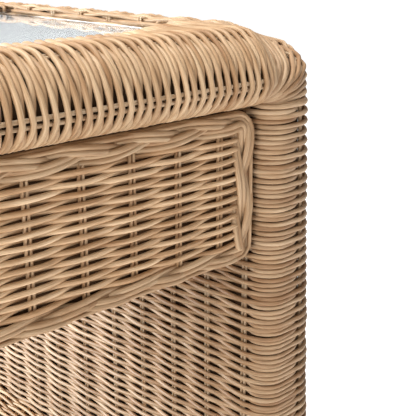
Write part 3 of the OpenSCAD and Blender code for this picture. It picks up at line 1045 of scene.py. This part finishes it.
def shelf(side):
    """Weavers round half of the shelf from front to back, and its stakes from side to side."""
    canes = Canes(140 + side)
    rng = np.random.default_rng(142 + side)
    z_top, z_low = shelf_hi[2], shelf_lo[2]
    r = (z_top - z_low) / 2 - SHELF_SINK
    zc = (z_top + z_low) / 2
    yc = -shelf_lo[1] - r - SHELF_SINK
    outline = join(
        line((0, zc + r), (-yc, zc + r), (0, 1)),
        arc((-yc, zc), r, 90, 270, 6),
        arc((yc, zc), r, -90, 90, 6),
        line((yc, zc + r), (0, zc + r), (0, 1)),
    )
    s = lengths(outline[0])
    length = s[-1]
    stake_at = (np.arange(SHELF_GAPS) + 0.5) * length / SHELF_GAPS
    at, p, n = resample(outline)
    at, p, n = at[:-1], p[:-1], n[:-1]
    for i in range(int((OPEN_X + 4) / PITCH)):
        x = side * (i + 0.5) * PITCH
        heights = [(place, SHELF_CRIMP * side * (-1) ** (i + k)) for k, place in enumerate(stake_at)]
        out = crimp(at, heights, length)
        out += wander(at, length, 0.2, rng)
        q = p + n * out[:, None]
        sway = wander(at, length, 0.35, rng)
        points = np.column_stack([x + sway, q])
        normals = np.column_stack([np.zeros(len(n)), n])
        canes.lay(points, normals, closed=True, sides=6)
    keep = np.concatenate([[True], np.diff(s) > 1e-6])
    x = side * np.linspace(0, OPEN_X + 4, 12)
    for place in stake_at:
        y, z = (np.interp(place, s[keep], c) for c in outline[0][keep].T)
        ny, nz = (np.interp(place, s[keep], c) for c in outline[1][keep].T)
        points = np.column_stack([x, np.full(len(x), y), np.full(len(x), z)])
        normals = np.tile([0.0, ny, nz], (len(x), 1))
        stake_pair(canes, points, normals, np.array([0.0, -nz, ny]))
    return canes


SHELF_NODES = ["shelf_top_skin", "shelf_under_skin", "shelf_front_edge", "shelf_back_edge"]
for side, label in BOTH_SIDES:
    shelf(side).piece(f"shelf_weave_{label}", RATTAN, "woven_rattan", "table", SHELF_NODES)

# ---------- Materials of the CAD parts that stay ----------


def dress(material, *names, bevel=0.0):
    """Gives CAD nodes a material, and softens their edges."""
    for name in names:
        obj = frame["nodes"][name]
        obj.data.materials.clear()
        obj.data.materials.append(material)
        if bevel:
            softened = obj.modifiers.new("soft_edges", "BEVEL")
            softened.width = bevel * MM
            softened.segments = 2
            softened.limit_method = "ANGLE"
            softened.angle_limit = math.radians(40)


POLE_X, POLE_Y, POLE_Z = (
    wood(f"pole_{label}", (0.62, 0.45, 0.28), (0.44, 0.29, 0.16), axis, 0.45)
    for axis, label in enumerate("xyz")
)
# Near-black boards behind the weave: painted shade, so that the gaps in the weave read dark.
SHADE_DARK_BOARD = wood("shade_dark_board", (0.10, 0.052, 0.024), (0.05, 0.026, 0.012), 0, 0.8, gloss=0.1)
BOX_X, BOX_Y = (
    wood(f"drawer_wood_{label}", (0.66, 0.46, 0.27), (0.50, 0.32, 0.17), axis)
    for axis, label in enumerate("xy")
)
PLY = wood("birch_ply", (0.78, 0.62, 0.42), (0.66, 0.49, 0.31), 1, 0.5, 8.0)
BEECH = wood("runner_beech", (0.58, 0.38, 0.22), (0.44, 0.27, 0.15), 1, 0.35)


def painted(name, colour, rough, glow=0.0):
    """Paint or plastic, softly clouded; glow is its emission strength, which paints light onto it."""
    material, tree, shader = node_tree(name)
    place = add(tree, "ShaderNodeTexCoord").outputs["Object"]
    cloud = noise(tree, place, 22.0, 3.0)
    darker = tuple(c * 0.93 for c in colour)
    tree.links.new(ramp(tree, cloud, [(0.35, darker), (0.65, colour)]), shader.inputs["Base Color"])
    shader.inputs["Roughness"].default_value = rough
    shader.inputs["Emission Color"].default_value = (*colour, 1)
    shader.inputs["Emission Strength"].default_value = glow
    bump(tree, shader, noise(tree, place, 900.0, 2.0), 0.1, 0.0002)
    return material


# The board under the glass glows: painted light in place of the light that the glass keeps from it.
GLOWING_WHITE_BOARD = painted("white_board_painted_light", (0.84, 0.87, 0.89), 0.5, 1.05)
GLIDE = painted("glide_plastic", (0.07, 0.065, 0.06), 0.45)
# The pads under the glass glow as well: painted light.
GLOWING_PAD = painted("clear_pad", (0.82, 0.85, 0.87), 0.3, 1.0)


def steel():
    """Zinc-plated steel with fine brush marks."""
    material, tree, shader = node_tree("zinc_steel")
    place = add(tree, "ShaderNodeTexCoord").outputs["Object"]
    brushed = noise(tree, place, 700.0, 3.0)
    stops = [(0.3, (0.55, 0.55, 0.56)), (0.7, (0.74, 0.74, 0.75))]
    tree.links.new(ramp(tree, brushed, stops), shader.inputs["Base Color"])
    shader.inputs["Metallic"].default_value = 1.0
    shader.inputs["Roughness"].default_value = 0.32
    bump(tree, shader, brushed, 0.1, 0.0001)
    return material


def glass():
    """Clear glass with faint smears in its polish."""
    material, tree, shader = node_tree("glass")
    shader.inputs["Base Color"].default_value = (0.97, 0.99, 0.99, 1)
    shader.inputs["Transmission Weight"].default_value = 1.0
    shader.inputs["IOR"].default_value = 1.5
    place = add(tree, "ShaderNodeTexCoord").outputs["Object"]
    smear = add(tree, "ShaderNodeMapRange")
    smear.inputs["To Min"].default_value = 0.0
    smear.inputs["To Max"].default_value = 0.03
    tree.links.new(noise(tree, place, 9.0, 3.0), smear.inputs["Value"])
    tree.links.new(smear.outputs["Result"], shader.inputs["Roughness"])
    return material


dress(POLE_Z, *[f"post_{a}_{b}" for a in ("front", "back") for b in ("left", "right")])
dress(POLE_X, "top_rail_front", "top_rail_back", "shelf_rail_front", "shelf_rail_back")
dress(POLE_Y, *[f"{k}_rail_{b}" for k in ("top", "mid", "base") for b in ("left", "right")])
dress(SHADE_DARK_BOARD, "drawer_front_board", "back_apron_board", "shelf_board", bevel=0.8)
dress(BEECH, "wall_base_left", "wall_base_right", "runner_left", "runner_right", bevel=0.8)
dress(BEECH, "closing_stops", "pull_out_stop", bevel=0.8)
dress(BOX_Y, "drawer_side_left", "drawer_side_right", bevel=0.8)
dress(BOX_X, "drawer_back", bevel=0.8)
dress(PLY, "drawer_bottom", bevel=0.5)
dress(GLOWING_WHITE_BOARD, "sub_top_board", bevel=0.5)
dress(GLOWING_PAD, "glass_pads")
dress(glass(), "glass_top", bevel=0.4)
dress(steel(), "runner_screws", "drawer_screws", bevel=0.3)
dress(GLIDE, "foot_glides", bevel=1.0)

# ---------- Camera, light and floor ----------

FROM_CORNER = Vector((-491.96, -443.59, 246.56)) * MM  # from the drawer's lower right corner
LOOK_DOWN = 17.45  # degrees below level
LOOK_RIGHT = 44.79  # degrees to the right of straight at the front
corner = Vector((braid_hi[0], braid_lo[1], braid_lo[2])) * MM
camera_data = bpy.data.cameras.new("camera")
camera_data.sensor_width = 36
camera_data.lens = 73.51
camera = bpy.data.objects.new("camera", camera_data)
camera.location = corner + FROM_CORNER
camera.rotation_euler = Euler((math.radians(90 - LOOK_DOWN), 0, math.radians(-LOOK_RIGHT)))
scene.collection.objects.link(camera)
scene.camera = camera


LIT_PLACE = Vector((0, 0, 0.35))  # the lights point here


def area_light(name, place, size, power, colour=(1, 1, 1)):
    """A round soft light; places and sizes are in metres."""
    data = bpy.data.lights.new(name, "AREA")
    data.shape = "DISK"
    data.size = size
    data.energy = power
    data.color = colour
    light = bpy.data.objects.new(name, data)
    light.location = place
    light.rotation_euler = (LIT_PLACE - Vector(place)).to_track_quat("-Z", "Y").to_euler()
    scene.collection.objects.link(light)


area_light("top", (-0.5, 0.05, 2.3), 1.5, 63)
area_light("front", (-1.9, -0.9, 1.0), 1.0, 16, (1.0, 0.98, 0.95))
area_light("opening", (-0.75, 1.15, 0.6), 0.5, 60, (0.84, 0.92, 1.0))

world = bpy.data.worlds.new("studio")
world.use_nodes = True
background = world.node_tree.nodes["Background"]
background.inputs["Color"].default_value = (1, 1, 1, 1)
background.inputs["Strength"].default_value = 0.32
scene.world = world
scene.view_settings.view_transform = "Standard"

bpy.ops.mesh.primitive_circle_add(vertices=96, radius=60, fill_type="NGON")
floor = bpy.context.object
floor.name = "floor"
pale, _, floor_shader = node_tree("pale_floor")
floor_shader.inputs["Base Color"].default_value = (0.9, 0.9, 0.9, 1)
floor_shader.inputs["Roughness"].default_value = 0.9
floor_shader.inputs["Emission Color"].default_value = (1, 1, 1, 1)
floor_shader.inputs["Emission Strength"].default_value = 0.75
floor.data.materials.append(pale)
